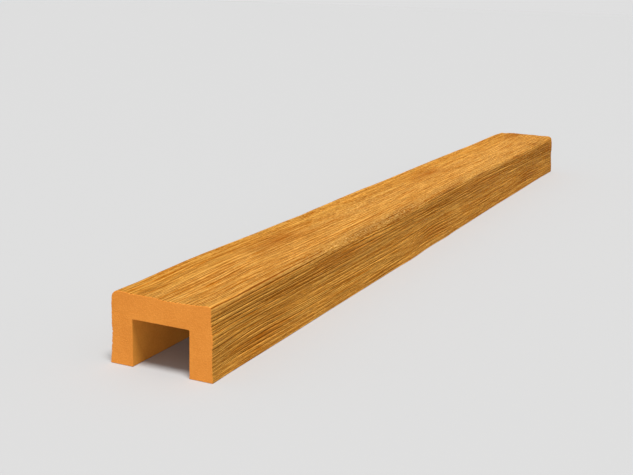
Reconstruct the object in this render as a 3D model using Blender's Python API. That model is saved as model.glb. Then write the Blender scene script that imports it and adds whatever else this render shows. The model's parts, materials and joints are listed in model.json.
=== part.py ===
"""Faux beam: a length of three-sided ceiling beam, moulded in rigid foam to look like rough-sawn timber.

It is one U-shaped piece. Its ends and its channel are flat, and its top and sides keep the slow waves and
the worn arrises of the timber that it copies. Lengths are in metres. X runs across the beam, Y along it
from the near end to the far one, and Z up from the feet of its legs. The origin is under its middle.
"""

import math

import bmesh
import bpy
from mathutils import Vector

# Overall size
LENGTH = 1.800
WIDTH = 0.152
HEIGHT = 0.098

# Thickness of the foam beside the channel and above it
SIDE_WALL = 0.034
TOP_WALL = 0.035

# How far each side leans in above its foot, so that it leaves the mould, and how high up it is plumb again
DRAFT = 0.0034
DRAFT_HEIGHT = 0.046

# The long hollow of the top: its depth, the place of its lowest line across the beam, and its half width
HOLLOW = 0.0025
HOLLOW_PLACE = 0.018
HOLLOW_HALF = 0.045

# Width of the band along each arris that wear has rounded
ARRIS_BAND = 0.018

# How round each arris is at places along the beam. At 0 it is a sharp corner, and at 0.5 the whole band is a
# quarter circle.
LEFT_ROUNDNESS = ((0.000, 0.24), (0.200, 0.13), (1.800, 0.16))
RIGHT_ROUNDNESS = ((0.000, 0.07), (0.280, 0.08), (0.480, 0.38), (0.720, 0.36), (0.880, 0.11), (1.200, 0.16),
                   (1.800, 0.30))

# Slow waves of each face: length of one wave, place of a crest from the near end, and half of its height
TOP_WAVES = ((0.870, 0.210, 0.0006), (0.480, 0.690, 0.0004), (0.310, 0.740, 0.0003))
LEFT_WAVES = ((0.700, 0.060, 0.0005), (0.240, 0.080, 0.0002))
RIGHT_WAVES = ((1.270, 0.480, 0.0006), (0.430, 0.160, 0.0003))

# How far a crest moves along the beam for each metre that it runs across a face
SKEW = 0.4

# Spacing of the sections along the beam, and the strips across each face
SECTION_PITCH = 0.025
TOP_STRIPS = 8
SIDE_STRIPS = 6
ARRIS_STRIPS = 6

# How far the channel's cutter runs past the solid that it cuts
OVERRUN = 0.020

# Colour of the foam skin
FOAM_COLOUR = (0.62, 0.29, 0.07, 1.0)
FOAM_ROUGHNESS = 0.75


def new_collection(name):
    made = bpy.data.collections.new(name)
    bpy.context.scene.collection.children.link(made)
    return made


def add_object(name, mesh_maker, collection):
    """An object whose mesh is the one that mesh_maker returns as a bmesh."""
    shape = mesh_maker()
    mesh = bpy.data.meshes.new(name)
    shape.to_mesh(mesh)
    shape.free()
    made = bpy.data.objects.new(name, mesh)
    collection.objects.link(made)
    return made


def foam_material():
    foam = bpy.data.materials.new("moulded_foam")
    foam.use_nodes = True
    shader = foam.node_tree.nodes["Principled BSDF"]
    shader.inputs["Base Color"].default_value = FOAM_COLOUR
    shader.inputs["Roughness"].default_value = FOAM_ROUGHNESS
    shader.inputs["Metallic"].default_value = 0.0
    return foam


def box(low, high):
    """A closed box between two corners."""
    shape = bmesh.new()
    bmesh.ops.create_cube(shape, size=1.0)
    low, high = Vector(low), Vector(high)
    bmesh.ops.scale(shape, vec=high - low, verts=shape.verts)
    bmesh.ops.translate(shape, vec=(low + high) / 2, verts=shape.verts)
    return shape


def between(low, high, strips):
    """The places that part a stretch into equal strips, without its two ends."""
    return [low + (high - low) * i / strips for i in range(1, strips)]


def cut_lines(shape, places, normal):
    """Cut the skin by planes square to the normal, one at each place along it."""
    for place in places:
        whole = shape.verts[:] + shape.edges[:] + shape.faces[:]
        bmesh.ops.bisect_plane(shape, geom=whole, plane_co=normal * place, plane_no=normal)


def square_block():
    """The beam before it is hewn, with a rounded band along both arrises and its skin cut into strips."""
    shape = box((-WIDTH / 2, -LENGTH / 2, 0), (WIDTH / 2, LENGTH / 2, HEIGHT))
    arrises = [e for e in shape.edges if all(v.co.z > HEIGHT / 2 for v in e.verts)
               and e.verts[0].co.x * e.verts[1].co.x > 0]
    bmesh.ops.bevel(shape, geom=arrises, offset=ARRIS_BAND, segments=ARRIS_STRIPS, profile=0.5,
                    affect="EDGES")
    top_half = WIDTH / 2 - ARRIS_BAND
    sections = round(LENGTH / SECTION_PITCH)
    cut_lines(shape, between(-top_half, top_half, TOP_STRIPS), Vector((1, 0, 0)))
    cut_lines(shape, between(0, HEIGHT - ARRIS_BAND, SIDE_STRIPS), Vector((0, 0, 1)))
    cut_lines(shape, between(-LENGTH / 2, LENGTH / 2, sections), Vector((0, 1, 0)))
    return shape


def wave(waves, along, across):
    """Height of a face's slow waves at a place along the beam and across the face."""
    place = along + SKEW * across
    return sum(half * math.cos(math.tau * (place - crest) / length) for length, crest, half in waves)


def hill(place, centre, half_width):
    """A smooth hill, 1 at its centre and nearly 0 at twice its half width."""
    return math.exp(-((place - centre) / half_width) ** 2)


def roundness_at(along, stations):
    """How round an arris is at a place along the beam, running smoothly from station to station."""
    for (start, before), (end, after) in zip(stations, stations[1:]):
        if along <= end:
            share = (along - start) / (end - start)
            return before + (after - before) * (1 - math.cos(math.pi * share)) / 2
    return stations[-1][1]


def worn_share(share, roundness):
    """Moves a point of the plain quarter circle out to the worn shape. It goes from 0 to 1 across the band."""
    return max(share, 0.0) ** (2 * roundness)


def hewn_block():
    """The block with its worn arrises, the hollow of its top, its draft and the slow waves of each face."""
    shape = square_block()
    top_edge = HEIGHT - ARRIS_BAND
    side_edge = WIDTH / 2 - ARRIS_BAND
    on_top, on_left, on_right = {}, {}, {}
    for vert in shape.verts:
        across, along, up = vert.co
        along += LENGTH / 2
        in_top = (up - top_edge) / ARRIS_BAND
        in_side = (abs(across) - side_edge) / ARRIS_BAND
        if in_top > 0 and in_side > 0:
            roundness = roundness_at(along, LEFT_ROUNDNESS if across < 0 else RIGHT_ROUNDNESS)
            vert.co.z = top_edge + ARRIS_BAND * worn_share(in_top, roundness)
            vert.co.x = math.copysign(side_edge + ARRIS_BAND * worn_share(in_side, roundness), across)
        if in_top > 0:
            on_top[vert] = wave(TOP_WAVES, along, across) - HOLLOW * hill(across, HOLLOW_PLACE, HOLLOW_HALF)
        if in_side > 0:
            waves, face = (LEFT_WAVES, on_left) if across < 0 else (RIGHT_WAVES, on_right)
            face[vert] = wave(waves, along, up) - DRAFT * min(up / DRAFT_HEIGHT, 1)
    # Each face is full size at its highest point, and lower everywhere else
    upward, leftward, rightward = Vector((0, 0, 1)), Vector((-1, 0, 0)), Vector((1, 0, 0))
    for face, outward, full in ((on_top, upward, HEIGHT), (on_left, leftward, WIDTH / 2),
                                (on_right, rightward, WIDTH / 2)):
        highest = max(vert.co.dot(outward) + height for vert, height in face.items())
        for vert, height in face.items():
            vert.co += outward * (height + full - highest)
    return shape


def channel_cutter():
    """The space between the legs, running out of the feet and of both ends."""
    half = WIDTH / 2 - SIDE_WALL
    end = LENGTH / 2 + OVERRUN
    return box((-half, -end, -OVERRUN), (half, end, HEIGHT - TOP_WALL))


def build():
    for old in list(bpy.data.objects):
        bpy.data.objects.remove(old, do_unlink=True)
    parts = new_collection("faux beam")
    cutters = new_collection("cutters")

    cutter = add_object("channel_cutter", channel_cutter, cutters)
    cutter.hide_render = True
    cutter.display_type = "WIRE"

    beam = add_object("faux_beam", hewn_block, parts)
    beam.data.materials.append(foam_material())
    beam.data.shade_smooth()
    beam.data.set_sharp_from_angle(angle=math.radians(30))
    channel = beam.modifiers.new("channel", "BOOLEAN")
    channel.operation = "DIFFERENCE"
    channel.solver = "EXACT"
    channel.object = cutter


build()
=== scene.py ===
"""Faux beam: a length of three-sided ceiling beam, moulded in rigid foam over the grain of rough-sawn timber.

The beam is one closed mesh. Its large form is felt from the frame's solid, and the grooves, ridges, nicks and
worn places of the grain are pressed into that skin. Lengths are in metres. X runs across the beam, Y along it
and Z up from the feet of its legs. Places along the beam are counted from its near end.
"""

import json
import math

import bpy
import numpy as np
from mathutils import Matrix, Vector
from mathutils.bvhtree import BVHTree


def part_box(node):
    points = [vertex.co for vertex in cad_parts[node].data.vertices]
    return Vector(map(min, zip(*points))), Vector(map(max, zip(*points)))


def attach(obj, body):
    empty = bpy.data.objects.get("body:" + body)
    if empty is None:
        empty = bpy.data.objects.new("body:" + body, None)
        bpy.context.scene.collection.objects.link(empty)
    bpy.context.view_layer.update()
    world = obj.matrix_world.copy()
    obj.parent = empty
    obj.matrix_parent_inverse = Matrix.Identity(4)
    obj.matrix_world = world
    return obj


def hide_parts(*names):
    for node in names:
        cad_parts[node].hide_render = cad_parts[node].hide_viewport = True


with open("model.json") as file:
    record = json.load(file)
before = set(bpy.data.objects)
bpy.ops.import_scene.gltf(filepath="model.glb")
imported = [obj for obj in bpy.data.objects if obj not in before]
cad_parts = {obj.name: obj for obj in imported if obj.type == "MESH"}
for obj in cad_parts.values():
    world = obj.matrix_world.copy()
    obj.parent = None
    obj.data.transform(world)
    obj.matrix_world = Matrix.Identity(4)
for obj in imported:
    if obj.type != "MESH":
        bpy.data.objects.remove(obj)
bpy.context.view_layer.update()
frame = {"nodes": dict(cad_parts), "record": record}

# The solid that the beam stands for, and the sizes that it gives
SOLID = "faux_beam"
MOUNTS = {mount["name"]: mount["pos_m"] for mount in frame["record"]["mounts"]}
LOW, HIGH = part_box(SOLID)
LENGTH = HIGH.y - LOW.y
WIDTH = HIGH.x - LOW.x
HEIGHT = HIGH.z
CHANNEL_HALF = MOUNTS["channel_right_wall"][0]
CHANNEL_TOP = MOUNTS["channel_top"][2]

# The skin is felt from a path this deep inside the foam, which turns round each arris on this radius
FEELER = 0.018

# The girth is counted from the left foot, up that side, over the top and down to the right foot
SIDE_GIRTH = HEIGHT - FEELER
TURN_GIRTH = FEELER * math.pi / 2
TOP_GIRTH = WIDTH - 2 * FEELER
GIRTH = 2 * (SIDE_GIRTH + TURN_GIRTH) + TOP_GIRTH
LEFT_ARRIS = SIDE_GIRTH + TURN_GIRTH / 2
RIGHT_ARRIS = GIRTH - LEFT_ARRIS
MIDDLE = GIRTH / 2

# Rows of the mesh along the beam, the eased edge of each cut, and how near a feeler goes to a flat face
ROWS = 268
CUT_EASE = 0.0005
CLEAR = 0.0004

# Points across the flat underside of a foot, as shares of the way from its outer edge to the channel
FOOT_SHARES = (0.02, 0.34, 0.67, 0.98)
FOOT_POINTS = len(FOOT_SHARES)

# The channel's rounded upper corners, the steps of each, and the strip of its walls beside the feet
CHANNEL_FILLET = 0.0020
FILLET_STEPS = 4
CHANNEL_LIP = 0.0006

# Finishes of the faces, in the order of the mesh's materials
GRAINED, CUT, CHANNEL = 0, 1, 2

# One length of the mould's grain, after which it comes again
REPEAT = 0.705

# Grooves across the skin: spacing, depth, and the plain strip beside each foot
GROOVE_SPACING = (0.0044, 0.0080)
GROOVE_DEPTH = (0.0009, 0.0017)
FOOT_STRIP = 0.0030

# Columns of the mesh from one groove to the next, how much of a groove's depth each one has, and how much of
# the shallower line that splits the ridge between two grooves
GROOVE_STEPS = (0.00, 0.12, 0.28, 0.50, 0.72, 0.88)
GROOVE_SHARES = (1.00, 0.40, 0.00, 0.00, 0.00, 0.40)
SPLIT_SHARES = (0.00, 0.00, 0.00, 1.00, 0.00, 0.00)
SPLIT_DEPTH = 0.0008

# How much of its depth the last groove still has halfway to the foot's edge, and all relief at the edge itself
HALFWAY_SHARE = 0.2
EDGE_DEPTH_SHARE = 0.25

# Strength of a groove before it fades or deepens, and its least and most
USUAL_STRENGTH = 0.72
LEAST_STRENGTH, MOST_STRENGTH = 0.10, 1.5

# How far a ridge is split: usually, what a figure adds, and the most
USUAL_SPLIT = 0.5
FIGURE_SPLIT = 0.5
MOST_SPLIT = 1.4

# Random unevenness: the most that it adds either way, and the size of its cells across and along the beam
WANDER = (0.0022, 0.030, 0.235)
SMALL_WANDER = (0.0004, 0.011, 0.064)
FADING = (0.55, 0.0065, 0.115)
SLOW_FADING = (0.20, 0.0200, 0.235)
SPLITTING = (0.8, 0.0050, 0.070)
HOLLOWS = (0.00060, 0.019, 0.235)
RIDGES = (0.00022, 0.0062, 0.176)
FIBRES = (0.00016, 0.0013, 0.024)
LOOSE_PATCHES = (0.12, 0.012, 0.078)

# The strip beside each foot in which the grain's lines come to keep their place, and the strip on each side of
# the middle in which their bow turns over
HELD_STRIP = 0.012
BOW_TURN = 0.02

# Where the top begins and where it is fully itself, inward of each arris
TOP_BEGINS, TOP_FULL = -0.004, 0.012

# Depth of the grain on the top and beside the arrises, against the sides' own, and how far an arris reaches
TOP_DEPTH_SHARE = 0.90
ARRIS_DEPTH_SHARE = 0.65
ARRIS_REACH = 0.008

# The stretch of the right arris that is torn rather than worn smooth: its middle, its half length, and how much
# deeper its grain is
CHATTERED_PLACE = 0.72
CHATTERED_HALF = 0.30
CHATTERED_EXTRA = 0.15

# How much shallower the grooves are at the near and the far cut, and how far that reaches
NEAR_CUT_FADING = 0.20
FAR_CUT_FADING = 0.35
CUT_REACH = 0.025

# Stain that gathers in the grain, deepened by painted shade: the share of a groove's depth at which it starts,
# what it is in a split ridge and in a nick, how much more painted shade the top's grooves have, and its most
STAIN_AND_SHADE_STARTS = 0.25
SPLIT_STAIN_AND_SHADE = 0.35
NICK_STAIN_AND_SHADE = 0.42
TOP_PAINTED_SHADE_EXTRA = 0.80
MOST_STAIN_AND_SHADE = 1.2

# Seed of every random draw
SEED = 20

# Figure in the grain, where the lines bow and the grooves run deeper: place of the girth, place along, half
# width across, half length, how far the lines bow towards the top, and how much deeper the grooves are
FIGURES = (
    (GIRTH - 0.030, 0.120, 0.017, 0.085, 0.0040, 0.75),
    (GIRTH - 0.078, 0.060, 0.020, 0.150, -0.0015, 0.45),
    (0.034, 0.330, 0.018, 0.090, -0.0040, 0.70),
    (0.070, 0.600, 0.016, 0.080, 0.0030, 0.50),
    (MIDDLE + 0.024, 0.110, 0.018, 0.080, 0.0030, 0.90),
    (MIDDLE - 0.045, 0.040, 0.020, 0.090, 0.0020, 0.60),
    (MIDDLE + 0.055, 0.240, 0.016, 0.110, 0.0010, 0.50),
)

# Tan and brown patches of the stain: place of the girth, place along, half width, half length and strength
PATCHES = (
    (MIDDLE - 0.022, 0.355, 0.009, 0.045, 0.80),
    (MIDDLE - 0.008, 0.385, 0.010, 0.050, 0.25),
    (MIDDLE - 0.030, 0.260, 0.008, 0.070, 0.25),
    (MIDDLE - 0.020, 0.325, 0.028, 0.110, 0.36),
    (RIGHT_ARRIS - 0.0025, 0.085, 0.0022, 0.065, 0.55),
    (GIRTH - 0.075, 0.350, 0.013, 0.070, 0.70),
    (GIRTH - 0.070, 0.440, 0.012, 0.060, 0.62),
    (GIRTH - 0.070, 0.520, 0.008, 0.030, 0.45),
    (GIRTH - 0.066, 0.660, 0.008, 0.030, 0.40),
    (GIRTH - 0.024, 0.130, 0.014, 0.070, 0.50),
    (0.070, 0.100, 0.014, 0.070, 0.60),
    (0.030, 0.480, 0.012, 0.080, 0.50),
)

# Nicks worn into the arrises, each once: place of the girth, place along, half width, half length and depth
NICKS = (
    (RIGHT_ARRIS - 0.0010, 0.150, 0.0014, 0.060, 0.0005),
    (RIGHT_ARRIS - 0.0018, 0.295, 0.0013, 0.050, 0.0008),
    (RIGHT_ARRIS - 0.0085, 0.500, 0.0014, 0.060, 0.0011),
    (RIGHT_ARRIS - 0.0055, 0.600, 0.0014, 0.070, 0.0012),
    (RIGHT_ARRIS - 0.0015, 0.550, 0.0013, 0.075, 0.0012),
    (RIGHT_ARRIS + 0.0015, 0.690, 0.0014, 0.060, 0.0011),
    (RIGHT_ARRIS - 0.0040, 0.740, 0.0014, 0.060, 0.0011),
    (RIGHT_ARRIS - 0.0100, 0.670, 0.0014, 0.070, 0.0010),
    (RIGHT_ARRIS + 0.0042, 0.505, 0.0018, 0.050, 0.0009),
    (RIGHT_ARRIS + 0.0060, 0.620, 0.0018, 0.060, 0.0007),
    (RIGHT_ARRIS + 0.0015, 0.920, 0.0022, 0.050, 0.0014),
    (RIGHT_ARRIS + 0.0030, 1.130, 0.0020, 0.050, 0.0007),
    (RIGHT_ARRIS + 0.0030, 1.430, 0.0020, 0.060, 0.0007),
    (RIGHT_ARRIS - 0.0060, 1.635, 0.0030, 0.022, 0.0014),
    (LEFT_ARRIS - 0.0010, 0.150, 0.0018, 0.035, 0.0009),
    (LEFT_ARRIS + 0.0020, 0.520, 0.0020, 0.040, 0.0010),
    (LEFT_ARRIS - 0.0030, 0.930, 0.0022, 0.030, 0.0012),
    (LEFT_ARRIS - 0.0010, 1.360, 0.0020, 0.050, 0.0010),
)

# Places where wear has left the ridges pale: place of the girth, place along, half width, half length, strength
PALE_PLACES = (
    (RIGHT_ARRIS - 0.003, 0.580, 0.011, 0.220, 0.85),
    (RIGHT_ARRIS - 0.008, 1.000, 0.010, 0.160, 0.35),
    (RIGHT_ARRIS - 0.002, 0.290, 0.004, 0.110, 0.30),
    (RIGHT_ARRIS - 0.008, 1.400, 0.010, 0.240, 0.25),
    (MIDDLE - 0.020, 0.640, 0.030, 0.160, 0.30),
    (MIDDLE + 0.030, 1.300, 0.030, 0.260, 0.25),
    (LEFT_ARRIS + 0.006, 0.500, 0.010, 0.300, 0.35),
    (LEFT_ARRIS + 0.006, 1.250, 0.010, 0.300, 0.35),
)

# Swells of the skin, most of them beside the cuts: place of the girth, place along, half width, half length and
# height, which is below 0 where the skin sinks
SWELLS = (
    (MIDDLE, 0.000, 0.090, 0.040, 0.0006),
    (MIDDLE - 0.057, 0.000, 0.008, 0.040, 0.0009),
    (MIDDLE - 0.011, 0.000, 0.011, 0.050, 0.0011),
    (RIGHT_ARRIS - 0.006, 0.000, 0.010, 0.040, 0.0007),
    (GIRTH - 0.050, 0.000, 0.055, 0.035, 0.0023),
    (GIRTH - 0.052, 0.000, 0.014, 0.070, 0.0020),
    (0.070, 0.000, 0.035, 0.040, 0.0010),
    (GIRTH - 0.048, LENGTH, 0.036, 0.060, 0.0026),
    (GIRTH - 0.008, LENGTH, 0.024, 0.110, 0.0020),
    (MIDDLE + 0.016, LENGTH, 0.038, 0.080, 0.0021),
    (LEFT_ARRIS - 0.001, LENGTH, 0.014, 0.090, 0.0012),
    (LEFT_ARRIS + 0.010, LENGTH, 0.012, 0.045, -0.0026),
    (GIRTH, 0.700, 0.030, 0.060, 0.0020),
    (GIRTH, 0.890, 0.030, 0.040, 0.0016),
)

# Shares of the unit square's height in which the skin, the channel and each foot are laid out flat, with a gap
# after each, and the square's margin and width for them
SKIN_BAND, CHANNEL_BAND, FOOT_BAND, BAND_GAP = 0.60, 0.17, 0.03, 0.01
BAND_MARGIN, BAND_WIDTH = 0.004, 0.992

# Where in the square each cut end starts, its width there, and the upper limit of both
NEAR_END_START, FAR_END_START, END_WIDTH, END_LIMIT = 0.01, 0.51, 0.48, 0.995

# The floor's reach from the middle, how far it lies under the feet, and its grey
FLOOR_REACH = 30.0
FLOOR_DROP = 0.0004
FLOOR_GREY = 0.46

# Light of the room itself, and the brightness at which the floor shows, which the room behind it takes up
ROOM_LIGHT = 0.40
FLOOR_SEEN = 0.738

# Distant lamps: name, the direction that each stands in, how many degrees wide it is, and its strength. At
# strength 1 a lamp shows a white face turned to it as white.
LAMPS = (
    ("high lamp", (0.20, -0.22, 0.955), 20, 1.20),
    ("low lamp", (0.33, -0.93, 0.14), 30, 0.42),
)
LAMP_DISTANCE = 4

# Where the camera stands, where it looks, what is to its right, and its lens and sensor in millimetres
CAMERA_PLACE = (0.6815, -1.9088, 0.4714)
CAMERA_AHEAD = (-0.41166, 0.88032, -0.23574)
CAMERA_RIGHT = (0.90260, 0.42957, 0.02797)
CAMERA_LENS = 58.19
CAMERA_SENSOR = 36.0


def feeler(girth):
    """Where the skin is felt from, and in which direction, at a place of the girth: (x, z), (x, z)."""
    side = 1 if girth > MIDDLE else -1
    rest = GIRTH - girth if side > 0 else girth
    half = WIDTH / 2 - FEELER
    if rest < SIDE_GIRTH:
        return (side * half, rest), (side, 0.0)
    if rest < SIDE_GIRTH + TURN_GIRTH:
        turn = (rest - SIDE_GIRTH) / FEELER
        return (side * half, SIDE_GIRTH), (side * math.cos(turn), math.sin(turn))
    return (side * (half - (rest - SIDE_GIRTH - TURN_GIRTH)), SIDE_GIRTH), (0.0, 1.0)


def hill(place, centre, half_width):
    """A smooth hill, 1 at its centre and nearly 0 at twice its half width."""
    return np.exp(-((place - centre) / half_width) ** 2)


def ramp(value, start, end):
    """Runs smoothly from 0 at the start to 1 at the end."""
    share = np.clip((value - start) / (end - start), 0, 1)
    return share * share * (3 - 2 * share)


def rough_field(rng, across, along, most, cell_across, cell_along):
    """Smooth random heights over the skin, which come again after each repeat of the grain."""
    cells = max(2, round(REPEAT / cell_along))
    u = across / cell_across
    v = along / REPEAT * cells
    u = u - np.floor(u.min())
    i, j = np.floor(u).astype(int), np.floor(v).astype(int)
    a, b = ramp(u - i, 0, 1), ramp(v - j, 0, 1)
    table = rng.uniform(-1, 1, (i.max() + 2, cells))
    j, k = j % cells, (j + 1) % cells
    low_side = table[i, j] * (1 - b) + table[i, k] * b
    high_side = table[i + 1, j] * (1 - b) + table[i + 1, k] * b
    return most * (low_side * (1 - a) + high_side * a)


def marks_sum(marks, across, along, repeated=False):
    """Adds up smooth marks on the skin, which come again with the grain if they are repeated.

    Each mark is its place of the girth, its place along, its half width, its half length and its strength.
    """
    total = np.zeros(np.broadcast(across, along).shape)
    for girth, middle, half_width, half_length, strength in marks:
        for again in range(math.ceil(LENGTH / REPEAT) + 1 if repeated else 1):
            centre = middle + again * REPEAT
            total += strength * hill(across, girth, half_width) * hill(along, centre, half_length)
    return total


def groove_columns(rng):
    """The columns of the skin: place of the girth, place and depth of the nearest groove, and the two shares."""
    places = [FOOT_STRIP]
    while places[-1] < GIRTH - FOOT_STRIP - GROOVE_SPACING[0]:
        places.append(places[-1] + rng.uniform(*GROOVE_SPACING))
    places = np.array(places) * (GIRTH - 2 * FOOT_STRIP) / (places[-1] - FOOT_STRIP)
    places += FOOT_STRIP - places[0]
    depths = rng.uniform(*GROOVE_DEPTH, len(places))
    first, last = (places[0], depths[0]), (places[-1], depths[-1])
    columns = [(0.0, *first, 0.0, 0.0), (FOOT_STRIP / 2, *first, HALFWAY_SHARE, 0.0)]
    for left, right, left_depth, right_depth in zip(places, places[1:], depths, depths[1:]):
        for step, share, split in zip(GROOVE_STEPS, GROOVE_SHARES, SPLIT_SHARES):
            groove, depth = (left, left_depth) if step < 0.5 else (right, right_depth)
            columns.append((left + step * (right - left), groove, depth, share, split))
    columns += [(places[-1], *last, 1.0, 0.0), (GIRTH - FOOT_STRIP / 2, *last, HALFWAY_SHARE, 0.0),
                (GIRTH, *last, 0.0, 0.0)]
    return np.array(columns).T


def skin_rows():
    """Places of the mesh's rows along the beam, with one more row on each cut's eased edge."""
    rows = np.linspace(CUT_EASE, LENGTH - CUT_EASE, ROWS - 2)
    return np.concatenate([[0.0], rows, [LENGTH]])


def grained_skin(rows):
    """The outer skin as a grid of points, and what the stain and the painted shade need to know at each of them.

    The second array holds each point's line of the grain, its place along, and the stain that gathers there with
    the painted shade that darkens its grooves and nicks. The third one holds how far it is in a patch, how pale
    it is worn, and its place of the girth.
    """
    rng = np.random.default_rng(SEED)
    column, groove, groove_depth, share, split = groove_columns(rng)
    line, along = np.meshgrid(column, rows)
    groove = np.broadcast_to(groove, line.shape)
    bows = [figure[:5] for figure in FIGURES]
    deeper = [figure[:4] + figure[5:] for figure in FIGURES]

    # The lines of the grain wander across the skin, and bow round each figure, but keep their place at the feet
    held = ramp(line, 0, HELD_STRIP) * ramp(GIRTH - line, 0, HELD_STRIP)
    towards_top = np.where(line > MIDDLE, -1.0, 1.0) * ramp(abs(line - MIDDLE), 0, BOW_TURN)
    on_top = ramp(line, LEFT_ARRIS + TOP_BEGINS, LEFT_ARRIS + TOP_FULL)
    on_top *= ramp(RIGHT_ARRIS - line, TOP_BEGINS, TOP_FULL)
    wander = rough_field(rng, line, along, *WANDER)
    wander += rough_field(rng, line, along, *SMALL_WANDER)
    bow = marks_sum(bows, line, along, repeated=True) * np.where(on_top > 0.5, 1.0, towards_top)
    place = np.sort(line + held * (wander + bow), axis=1)

    # The grooves fade in and out along the beam, and run deeper in the figures
    fading = USUAL_STRENGTH + rough_field(rng, groove, along, *FADING)
    fading += rough_field(rng, groove, along, *SLOW_FADING)
    figured = marks_sum(deeper, groove, along, repeated=True)
    strength = np.clip(fading + figured, LEAST_STRENGTH, MOST_STRENGTH)
    depth = groove_depth * share * strength
    parted = USUAL_SPLIT + rough_field(rng, line, along, *SPLITTING) + FIGURE_SPLIT * figured
    depth = depth + SPLIT_DEPTH * split * np.clip(parted, 0, MOST_SPLIT)

    # They are shallower on the top, on the smoothly worn arrises and at the cuts
    from_arris = np.minimum(abs(place - LEFT_ARRIS), abs(place - RIGHT_ARRIS))
    near_arris = np.clip(1 - from_arris / ARRIS_REACH, 0, 1)
    face_share = 1 + (TOP_DEPTH_SHARE - 1) * on_top
    chattered = hill(along, CHATTERED_PLACE, CHATTERED_HALF) * (line > MIDDLE)
    worn_smooth = (ARRIS_DEPTH_SHARE - face_share) * near_arris * (1 - chattered)
    face_share += worn_smooth + CHATTERED_EXTRA * near_arris * chattered
    cut_share = 1 - NEAR_CUT_FADING * hill(along, 0, CUT_REACH) - FAR_CUT_FADING * hill(along, LENGTH, CUT_REACH)
    depth = depth * face_share * cut_share
    # Stain gathers in the grooves and split ridges, darkened beyond it as painted shade
    stain_and_shade = ramp(share, STAIN_AND_SHADE_STARTS, 1.0) * strength * groove_depth / GROOVE_DEPTH[1]
    stain_and_shade += SPLIT_STAIN_AND_SHADE * split * np.clip(parted, 0, 1)
    # painted shade: the top's grooves are darkened more in colour, as its relief catches less shade
    stain_and_shade *= 1 + TOP_PAINTED_SHADE_EXTRA * on_top

    # Broad hollows, ridges of uneven height, and the broken fibres that the saw left
    hollows = rough_field(rng, line, along, *HOLLOWS)
    ridges = rough_field(rng, line, along, *RIDGES)
    fibres = rough_field(rng, line, along, *FIBRES)
    depth = depth + hollows + (ridges + fibres) * (0.5 + 0.5 * face_share)

    # Each nick is pressed in, and darkened with stain and painted shade
    for girth, middle, half_width, half_length, nick_depth in NICKS:
        nick = hill(place, girth, half_width) * hill(along, middle, half_length)
        depth = depth + nick_depth * nick
        stain_and_shade = stain_and_shade + NICK_STAIN_AND_SHADE * nick
    depth *= EDGE_DEPTH_SHARE + (1 - EDGE_DEPTH_SHARE) * held
    for swell in SWELLS:
        depth = depth - marks_sum([swell], place, along)

    pale = marks_sum(PALE_PLACES, place, along)
    patches = marks_sum(PATCHES, place, along, repeated=True)
    patches += np.maximum(rough_field(rng, line, along, *LOOSE_PATCHES), 0)
    grain = np.stack([line, along, np.clip(stain_and_shade, 0, MOST_STAIN_AND_SHADE)], -1)
    return felt_points(rows, place, depth), grain, np.stack([patches, pale, place], -1)


def felt_points(rows, place, depth):
    """The skin's points, felt from inside the solid at each place of the girth and pressed in by their depth."""
    tree = BVHTree.FromObject(frame["nodes"][SOLID], bpy.context.evaluated_depsgraph_get())
    points = np.empty(place.shape + (3,))
    for i, row in enumerate(rows):
        y = LOW.y + min(max(row, CLEAR), LENGTH - CLEAR)
        ease = CUT_EASE if i in (0, len(rows) - 1) else 0.0
        for j in range(place.shape[1]):
            (x, z), (to_x, to_z) = feeler(place[i, j])
            direction = Vector((to_x, 0.0, to_z))
            hit = tree.ray_cast(Vector((x, y, max(z, CLEAR))), direction)[0]
            felt = hit - direction * (depth[i, j] + ease)
            points[i, j] = felt.x, LOW.y + row, z if z == 0 else felt.z
    return points


def channel_section():
    """The line of a section from the right foot's inner edge, round the channel, to the left foot's."""
    half = [(CHANNEL_HALF, z) for z in (0.0, CHANNEL_LIP, CHANNEL_TOP / 3, 2 * CHANNEL_TOP / 3)]
    for i in range(FILLET_STEPS + 1):
        turn = math.pi / 2 * i / FILLET_STEPS
        half.append((CHANNEL_HALF - CHANNEL_FILLET * (1 - math.cos(turn)),
                     CHANNEL_TOP - CHANNEL_FILLET * (1 - math.sin(turn))))
    half.append((CHANNEL_HALF / 3, CHANNEL_TOP))
    return half + [(-x, z) for x, z in reversed(half)]


def foot_section(outer_x, side):
    """Points across one foot's flat underside, between its outer edge and the channel."""
    inner = side * CHANNEL_HALF
    return [(outer_x + (inner - outer_x) * share, 0.0) for share in FOOT_SHARES]


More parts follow.
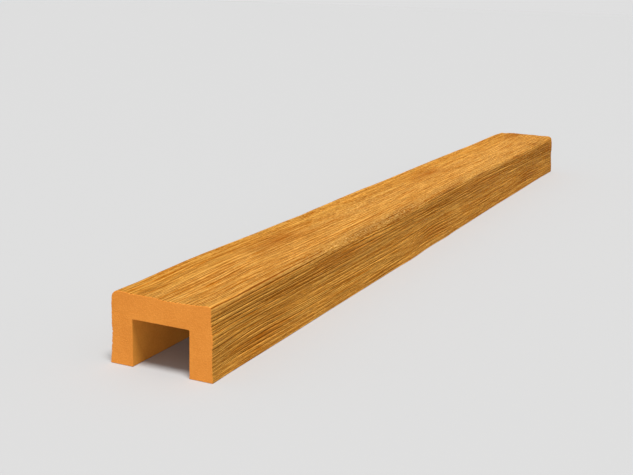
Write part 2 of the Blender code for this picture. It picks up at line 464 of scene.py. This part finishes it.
def beam_mesh():
    """The closed mesh: the section's line drawn along the beam, with a flat face on each cut end."""
    rows = skin_rows()
    count = len(rows)
    skin, grain, tint = grained_skin(rows)
    outer = skin.shape[1]
    channel = channel_section()
    channel_start = outer + FOOT_POINTS
    channel_end = channel_start + len(channel) - 1
    ring = outer + 2 * FOOT_POINTS + len(channel)
    points = np.zeros((count, ring, 3))
    points[:, :outer] = skin
    for i, row in enumerate(rows):
        ease = CUT_EASE if i in (0, count - 1) else 0.0
        right = foot_section(skin[i, -1, 0], 1)
        left = foot_section(skin[i, 0, 0], -1)[::-1]
        inside = [(x + math.copysign(ease, x), z + (ease if z > CHANNEL_TOP / 2 else 0)) for x, z in channel]
        points[i, outer:] = [(x, LOW.y + row, z) for x, z in right + inside + left]

    here = np.arange(ring)
    there = np.roll(here, -1)
    start = (np.arange(count - 1) * ring)[:, None]
    quads = np.stack([start + here, start + there, start + ring + there, start + ring + here], -1)
    near_end = list(range(ring - 1, -1, -1))
    far_end = list(range((count - 1) * ring, count * ring))
    mesh = bpy.data.meshes.new("beam")
    mesh.from_pydata(points.reshape(-1, 3).tolist(), [], quads.reshape(-1, 4).tolist() + [near_end, far_end])

    # The feet, the two ends and their eased edges have the finish of the cut foam
    strip = np.full(ring, CUT)
    strip[:outer - 1] = GRAINED
    strip[channel_start:channel_end - 1] = CHANNEL
    strips = np.tile(strip, (count - 1, 1))
    strips[[0, -1]] = CUT
    finish = np.concatenate([strips.ravel(), [CUT, CUT]])
    mesh.polygons.foreach_set("material_index", finish)

    for name, values in (("grain", grain), ("tint", tint)):
        full = np.zeros((count, ring, 3))
        full[:, :outer] = values
        layer = mesh.attributes.new(name, "FLOAT_VECTOR", "POINT")
        layer.data.foreach_set("vector", full.ravel())
    lay_out_flat(mesh, points, outer, channel_start, channel_end)

    smooth = np.ones(len(finish), bool)
    smooth[-2:] = False
    mesh.polygons.foreach_set("use_smooth", smooth)
    mark_edges(mesh, finish)
    mesh.validate()
    mesh.update()
    return mesh


def mark_edges(mesh, finish):
    """Edges between two finishes are crisp."""
    faces_of = {}
    for face in mesh.polygons:
        for key in face.edge_keys:
            faces_of.setdefault(key, []).append(finish[face.index])
    crisp = [len(set(faces_of[edge.key])) > 1 for edge in mesh.edges]
    layer = mesh.attributes.new("sharp_edge", "BOOLEAN", "EDGE")
    layer.data.foreach_set("value", crisp)


def lay_out_flat(mesh, points, outer, channel_start, channel_end):
    """Lays the faces side by side in the unit square: skin, foot, channel, foot, and the two ends in one row."""
    count, ring = points.shape[:2]
    section = points[count // 2]
    steps = np.linalg.norm(np.diff(section, axis=0), axis=1)
    walk = np.concatenate([[0], np.cumsum(steps)])
    walk = np.append(walk, walk[-1] + np.linalg.norm(section[0] - section[-1]))
    bands = (
        (0, outer - 1, SKIN_BAND),
        (outer - 1, channel_start, FOOT_BAND),
        (channel_start, channel_end, CHANNEL_BAND),
        (channel_end, ring, FOOT_BAND),
    )
    v_low, v_high = np.zeros(ring), np.zeros(ring)
    base = BAND_GAP / 2
    for first, last, share in bands:
        reach = walk[last] - walk[first]
        for j in range(first, last):
            v_low[j] = base + share * (walk[j] - walk[first]) / reach
            v_high[j] = base + share * (walk[j + 1] - walk[first]) / reach
        base += share + BAND_GAP
    u = BAND_MARGIN + BAND_WIDTH * (points[:, 0, 1] - LOW.y) / LENGTH
    low, high = np.tile(v_low, count - 1), np.tile(v_high, count - 1)
    u_here, u_next = np.repeat(u[:-1], ring), np.repeat(u[1:], ring)
    flat = [np.stack([u_here, low, u_here, high, u_next, high, u_next, low], -1).reshape(-1, 2)]
    for section, start in ((points[0, ::-1], NEAR_END_START), (points[-1], FAR_END_START)):
        x, z = section[:, 0], section[:, 2]
        across = start + END_WIDTH * (x - LOW.x) / WIDTH
        flat.append(np.stack([across, base + (END_LIMIT - base) * z / HEIGHT], -1))
    layer = mesh.uv_layers.new(name="OFBake")
    layer.data.foreach_set("uv", np.concatenate(flat).ravel())


def add_node(tree, kind, inputs=None, **settings):
    """A shader node with its settings, each input given a value or joined to the socket that feeds it."""
    made = tree.nodes.new("ShaderNode" + kind)
    for name, value in settings.items():
        setattr(made, name, value)
    fill_inputs(tree, made, inputs or {})
    return made


def group_node(tree, group, inputs):
    """The outputs of a node group placed in a tree."""
    made = tree.nodes.new("ShaderNodeGroup")
    made.node_tree = group
    fill_inputs(tree, made, inputs)
    return made.outputs


def fill_inputs(tree, node, inputs):
    """Gives each input its value, or joins it to the socket that feeds it."""
    for key, value in inputs.items():
        if isinstance(value, bpy.types.NodeSocket):
            tree.links.new(value, node.inputs[key])
        else:
            node.inputs[key].default_value = value


def maths(tree, operation, first, second=0.0, clamp=False):
    return add_node(tree, "Math", {0: first, 1: second}, operation=operation, use_clamp=clamp).outputs[0]


def weighted_sum(tree, *parts):
    """Adds up values, each times its weight."""
    total = None
    for value, weight in parts:
        product = maths(tree, "MULTIPLY", value, weight)
        total = product if total is None else maths(tree, "ADD", total, product)
    return total


def mixed(tree, factor, first, second, blend="MIX"):
    """Two colours mixed by a factor."""
    made = add_node(tree, "Mix", {0: factor, 6: first, 7: second}, data_type="RGBA", blend_type=blend)
    return made.outputs[2]


def spread(tree, value, low, high, to_low=0.0, to_high=1.0):
    """The value's stretch from low to high spread over another one, and held at its ends."""
    inputs = {"Value": value, "From Min": low, "From Max": high, "To Min": to_low, "To Max": to_high}
    return add_node(tree, "MapRange", inputs).outputs["Result"]


def dimmed(tree, value, mask, share):
    """The value as it is where the mask is 0, down to a share of it where the mask is 1."""
    return maths(tree, "MULTIPLY", value, spread(tree, mask, 0.0, 1.0, 1.0, share))


def distance_from(tree, place, centre):
    return maths(tree, "ABSOLUTE", maths(tree, "SUBTRACT", place, centre))


def attribute(tree, name):
    """A vector that the mesh stores at each of its points."""
    return add_node(tree, "Attribute", attribute_type="GEOMETRY", attribute_name=name).outputs["Vector"]


def vector_parts(tree, vector):
    return add_node(tree, "SeparateXYZ", {"Vector": vector}).outputs


def new_group(name, inputs, outputs):
    """An empty node group: its tree, its input sockets and its output sockets.

    Each input is a label, a kind and its usual value or None, and each output is the label of a float.
    """
    tree = bpy.data.node_groups.new(name, "ShaderNodeTree")
    for label, kind, usual in inputs:
        socket = tree.interface.new_socket(label, in_out="INPUT", socket_type="NodeSocket" + kind)
        if usual is not None:
            socket.default_value = usual
    for label in outputs:
        tree.interface.new_socket(label, in_out="OUTPUT", socket_type="NodeSocketFloat")
    return tree, tree.nodes.new("NodeGroupInput").outputs, tree.nodes.new("NodeGroupOutput").inputs


def fibre_lines():
    """Fine lines that run with the grain: a tone from 0 to 1, and a finer one for the relief."""
    given_inputs = (("Grain", "Vector", None), ("Across", "Float", 500.0), ("Along", "Float", 16.0))
    tree, given, result = new_group("fibre lines", given_inputs, ("Tone", "Relief"))
    place = vector_parts(tree, given["Grain"])
    across = maths(tree, "MULTIPLY", place["X"], given["Across"])
    along = maths(tree, "MULTIPLY", place["Y"], given["Along"])
    stretched = add_node(tree, "CombineXYZ", {"X": across, "Y": along}).outputs["Vector"]
    wide = add_node(tree, "TexNoise", {"Vector": stretched, "Scale": 1.0, "Detail": 3.0, "Roughness": 0.6})
    fine = add_node(tree, "TexNoise", {"Vector": stretched, "Scale": 2.3, "Detail": 2.0, "Roughness": 0.7})
    tree.links.new(spread(tree, wide.outputs["Fac"], 0.30, 0.70), result["Tone"])
    tree.links.new(spread(tree, fine.outputs["Fac"], 0.25, 0.75), result["Relief"])
    return tree


def foam_cells():
    """The fine cells of the foam: their pits from 0 to 1, and a slow drift of tone over the surface."""
    tree, given, result = new_group("foam cells", (("Cells per metre", "Float", 900.0),), ("Pits", "Drift"))
    place = add_node(tree, "TexCoord").outputs["Object"]
    scale = given["Cells per metre"]
    cells = add_node(tree, "TexVoronoi", {"Vector": place, "Scale": scale, "Randomness": 1.0})
    fine = add_node(tree, "TexNoise", {"Vector": place, "Scale": scale, "Detail": 2.0})
    slow = add_node(tree, "TexNoise", {"Vector": place, "Scale": 35.0, "Detail": 3.0, "Roughness": 0.6})
    pits = spread(tree, cells.outputs["Distance"], 0.15, 0.65)
    tree.links.new(maths(tree, "MULTIPLY", pits, fine.outputs["Fac"]), result["Pits"])
    tree.links.new(spread(tree, slow.outputs["Fac"], 0.35, 0.65), result["Drift"])
    return tree


def colour(red, green, blue):
    """A colour given in everyday 0 to 255 values, as the shaders take it."""
    parts = [value / 255 for value in (red, green, blue)]
    return tuple(p / 12.92 if p < 0.04045 else ((p + 0.055) / 1.055) ** 2.4 for p in parts) + (1.0,)


# The stain's gold where its tone is lowest and highest, on the worn dashes, in the patches, in the grooves with
# stain and painted shade, and beside the right arris
DEEP_GOLD = colour(198, 121, 24)
LIGHT_GOLD = colour(252, 190, 95)
WORN_GOLD = colour(255, 208, 128)
PATCH_BROWN = colour(184, 107, 24)
GROOVE_STAIN_AND_SHADE = colour(148, 70, 0)
ARRIS_OLIVE = colour(178, 126, 52)

# Painted shade makes the colour this much redder on the sides and the left of the top: what is left there of
# green and of blue
PAINTED_SHADE_GREEN = 0.96
PAINTED_SHADE_BLUE = 0.80

# Lightest and darkest tone of the bare foam on the cuts and in the channel
CUT_TONES = (colour(217, 138, 54), colour(201, 122, 42))
CHANNEL_TONES = (colour(218, 146, 57), colour(204, 132, 47))


def new_finish(name):
    """A material with nothing in it yet but its shader."""
    made = bpy.data.materials.new(name)
    made.use_nodes = True
    return made, made.node_tree, made.node_tree.nodes["Principled BSDF"]


def grained_stain_and_painted_shade(fibres, cells):
    """Golden stain over the moulded grain, darker and redder in the grooves with stain and painted shade, with
    brown patches.

    Dashes of it are worn pale. Painted shade makes it redder on the sides and on the left of the top, and darker
    along the sides, above the feet and at the far end.
    """
    made, tree, shader = new_finish("golden stain on moulded grain")
    grain = attribute(tree, "grain")
    grain_parts, tint_parts = vector_parts(tree, grain), vector_parts(tree, attribute(tree, "tint"))
    # groove is the stain and painted shade gathered in the grooves, split ridges and nicks
    along, groove = grain_parts["Y"], grain_parts["Z"]
    patch, pale, place = tint_parts["X"], tint_parts["Y"], tint_parts["Z"]
    lines = group_node(tree, fibres, {"Grain": grain, "Across": 520.0, "Along": 3.0})
    hairs = group_node(tree, fibres, {"Grain": grain, "Across": 860.0, "Along": 14.0})
    dashes = group_node(tree, fibres, {"Grain": grain, "Across": 620.0, "Along": 80.0})
    foam = group_node(tree, cells, {"Cells per metre": 1400.0})

    # Where on the beam painted shade makes the colour redder or darker, each mask from 0 to 1
    from_middle = distance_from(tree, place, MIDDLE)
    side_start = RIGHT_ARRIS - MIDDLE
    on_side = spread(tree, from_middle, side_start - 0.002, side_start + 0.010)
    low_on_side = spread(tree, from_middle, side_start + 0.022, side_start + 0.038)
    left_of_top = spread(tree, place, MIDDLE - 0.010, MIDDLE - 0.040)
    far_end = spread(tree, along, 1.50, 1.75)
    painted_shade_redder = maths(tree, "ADD", on_side, left_of_top, clamp=True)
    painted_shade_along_side = maths(tree, "MULTIPLY", on_side, spread(tree, along, 0.05, 1.80))

    # The gold follows the fibres, and where wear has reached, it breaks up into pale dashes
    broken = maths(tree, "MULTIPLY", maths(tree, "SUBTRACT", dashes["Tone"], 0.5), pale)
    # painted shade lowers the tone along the sides towards the far end
    tone = weighted_sum(tree, (pale, 0.10), (lines["Tone"], 0.40), (hairs["Tone"], 0.36),
                        (dashes["Tone"], 0.12), (broken, 1.10), (painted_shade_along_side, -0.05))
    gold = mixed(tree, spread(tree, tone, 0.25, 0.58), DEEP_GOLD, LIGHT_GOLD)
    worn = maths(tree, "MULTIPLY", spread(tree, dashes["Tone"], 0.50, 0.80), pale)
    gold = mixed(tree, maths(tree, "MULTIPLY", worn, 0.9), gold, WORN_GOLD)

    # Brown in the patches, stain and painted shade in the grooves, and a little olive beside the right arris
    brown = mixed(tree, maths(tree, "MULTIPLY", patch, 0.65, clamp=True), gold, PATCH_BROWN)
    stained_and_shaded = mixed(tree, maths(tree, "MULTIPLY", groove, 1.25, clamp=True), brown, GROOVE_STAIN_AND_SHADE)
    from_arris = distance_from(tree, place, RIGHT_ARRIS - 0.008)
    beside_arris = spread(tree, from_arris, 0.004, 0.014, 0.16, 0.0)
    olive = mixed(tree, maths(tree, "MULTIPLY", beside_arris, hairs["Tone"]), stained_and_shaded, ARRIS_OLIVE)

    # A filter over all of it: small flecks, and painted shade that darkens the sides towards the far end, the
    # strip above the feet, the left of the top and the far end, and makes the sides and the left of the top
    # redder
    red = spread(tree, dashes["Tone"], 0.0, 1.0, 0.93, 1.04)
    for mask, share in ((painted_shade_along_side, 0.88), (low_on_side, 0.975), (left_of_top, 0.96), (far_end, 0.93)):
        red = dimmed(tree, red, mask, share)
    green, blue = dimmed(tree, red, painted_shade_redder, PAINTED_SHADE_GREEN), dimmed(tree, red, painted_shade_redder, PAINTED_SHADE_BLUE)
    filter_colour = add_node(tree, "CombineXYZ", {"X": red, "Y": green, "Z": blue}).outputs["Vector"]
    tree.links.new(mixed(tree, 1.0, olive, filter_colour, "MULTIPLY"), shader.inputs["Base Color"])

    roughness = spread(tree, groove, 0.0, 1.0, 0.58, 0.80)
    roughness = maths(tree, "ADD", roughness, maths(tree, "MULTIPLY", lines["Tone"], 0.08))
    tree.links.new(roughness, shader.inputs["Roughness"])
    torn = maths(tree, "ADD", maths(tree, "MULTIPLY", pale, 0.95), 0.14)
    height = weighted_sum(tree, (lines["Relief"], 0.78), (hairs["Relief"], 0.45), (dashes["Relief"], torn),
                          (foam["Pits"], -0.10))
    bump = add_node(tree, "Bump", {"Strength": 1.0, "Distance": 0.0021, "Height": height})
    tree.links.new(bump.outputs["Normal"], shader.inputs["Normal"])
    shader.inputs["Specular IOR Level"].default_value = 0.03
    return made


def plain_foam(cells, name, tones, cells_per_metre, pit_depth):
    """Bare foam that shows its cells, with a slow drift between its lightest and its darkest tone."""
    made, tree, shader = new_finish(name)
    foam = group_node(tree, cells, {"Cells per metre": cells_per_metre})
    tone = weighted_sum(tree, (foam["Drift"], 0.45), (foam["Pits"], 0.75))
    tree.links.new(mixed(tree, tone, *tones), shader.inputs["Base Color"])
    tree.links.new(spread(tree, foam["Pits"], 0.0, 0.7, 0.72, 0.92), shader.inputs["Roughness"])
    height = maths(tree, "SUBTRACT", 1.0, foam["Pits"])
    bump = add_node(tree, "Bump", {"Strength": 0.6, "Distance": pit_depth, "Height": height})
    tree.links.new(bump.outputs["Normal"], shader.inputs["Normal"])
    shader.inputs["Specular IOR Level"].default_value = 0.20
    return made


def make_beam():
    fibres, cells = fibre_lines(), foam_cells()
    beam = bpy.data.objects.new("beam", beam_mesh())
    bpy.context.scene.collection.objects.link(beam)
    beam.data.materials.append(grained_stain_and_painted_shade(fibres, cells))
    beam.data.materials.append(plain_foam(cells, "cut foam", CUT_TONES, 500.0, 0.0006))
    beam.data.materials.append(plain_foam(cells, "channel skin", CHANNEL_TONES, 420.0, 0.0002))
    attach(beam, "root")
    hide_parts(SOLID)


def make_floor():
    """A plain pale floor, wide enough to reach past the view."""
    corners = [(-1, -1), (1, -1), (1, 1), (-1, 1)]
    mesh = bpy.data.meshes.new("floor")
    mesh.from_pydata([(FLOOR_REACH * x, FLOOR_REACH * y, 0) for x, y in corners], [], [(0, 1, 2, 3)])
    floor = bpy.data.objects.new("floor", mesh)
    floor.location.z = -FLOOR_DROP
    bpy.context.scene.collection.objects.link(floor)
    made, _, shader = new_finish("pale floor")
    shader.inputs["Base Color"].default_value = (FLOOR_GREY, FLOOR_GREY, FLOOR_GREY, 1.0)
    shader.inputs["Roughness"].default_value = 0.9
    shader.inputs["Specular IOR Level"].default_value = 0.1
    mesh.materials.append(made)


def add_lamp(name, toward, degrees_wide, strength):
    """A distant lamp in the given direction."""
    toward = Vector(toward).normalized()
    lamp = bpy.data.lights.new(name, "SUN")
    lamp.angle = math.radians(degrees_wide)
    lamp.energy = strength * math.pi
    holder = bpy.data.objects.new(name, lamp)
    holder.location = toward * LAMP_DISTANCE
    holder.rotation_euler = toward.to_track_quat("Z", "Y").to_euler()
    bpy.context.scene.collection.objects.link(holder)


def make_light():
    """A broad lamp from above and a fainter one from low in front of the near end, in a pale even room."""
    for lamp in LAMPS:
        add_lamp(*lamp)
    world = bpy.data.worlds.new("pale room")
    world.use_nodes = True
    tree = world.node_tree
    seen = add_node(tree, "LightPath").outputs["Is Camera Ray"]
    strength = spread(tree, seen, 0.0, 1.0, ROOM_LIGHT, FLOOR_SEEN)
    background = tree.nodes["Background"]
    background.inputs["Color"].default_value = (1.0, 1.0, 1.0, 1.0)
    tree.links.new(strength, background.inputs["Strength"])
    bpy.context.scene.world = world
    bpy.context.scene.view_settings.view_transform = "Standard"


def make_camera():
    """The camera looks at the near end from its right, a little from above."""
    ahead, right = Vector(CAMERA_AHEAD).normalized(), Vector(CAMERA_RIGHT).normalized()
    turn = Matrix((right, right.cross(ahead), -ahead)).transposed().to_4x4()
    camera = bpy.data.cameras.new("camera")
    camera.sensor_fit = "HORIZONTAL"
    camera.sensor_width = CAMERA_SENSOR
    camera.lens = CAMERA_LENS
    camera.clip_end = 100.0
    holder = bpy.data.objects.new("camera", camera)
    holder.matrix_world = Matrix.Translation(Vector(CAMERA_PLACE)) @ turn
    bpy.context.scene.collection.objects.link(holder)
    bpy.context.scene.camera = holder


make_camera()
make_light()
make_floor()
make_beam()
